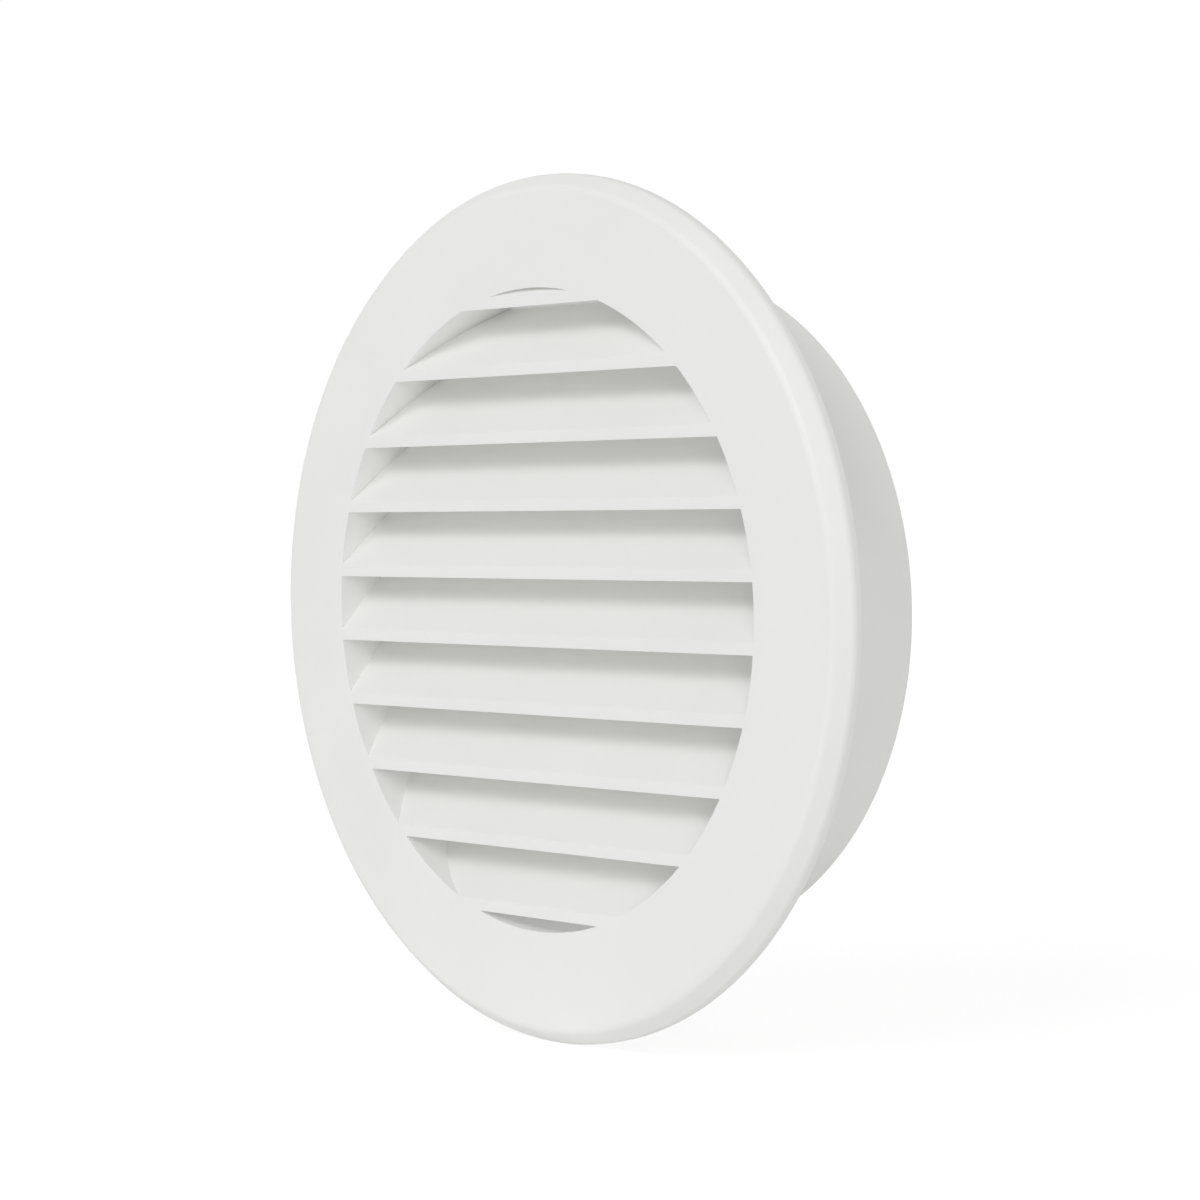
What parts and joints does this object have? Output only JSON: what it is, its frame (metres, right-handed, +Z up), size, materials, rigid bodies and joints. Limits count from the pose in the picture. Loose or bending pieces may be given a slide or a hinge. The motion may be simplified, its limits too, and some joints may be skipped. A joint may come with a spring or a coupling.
{
  "type": "round louvred vent cover",
  "caption": "Round white plastic vent cover: ring with a bevelled rim, fixed slanted louvre blades across the opening and a plain spigot behind for a round duct or hole.",
  "frame": {"origin": "on the spigot's axis, in the plane where the rim's foot meets the wall", "axes": "+Y along the spigot, into the wall; the front of the ring faces -Y; +Z is up, so the blades rise towards the rear and shed rain"},
  "size_m": [0.125, 0.0278, 0.125],
  "materials": {
    "white_plastic": "fine satin moulded surface"
  },
  "bodies": {
    "root": {"vent_cover": "white_plastic"}
  },
  "joints": []
}
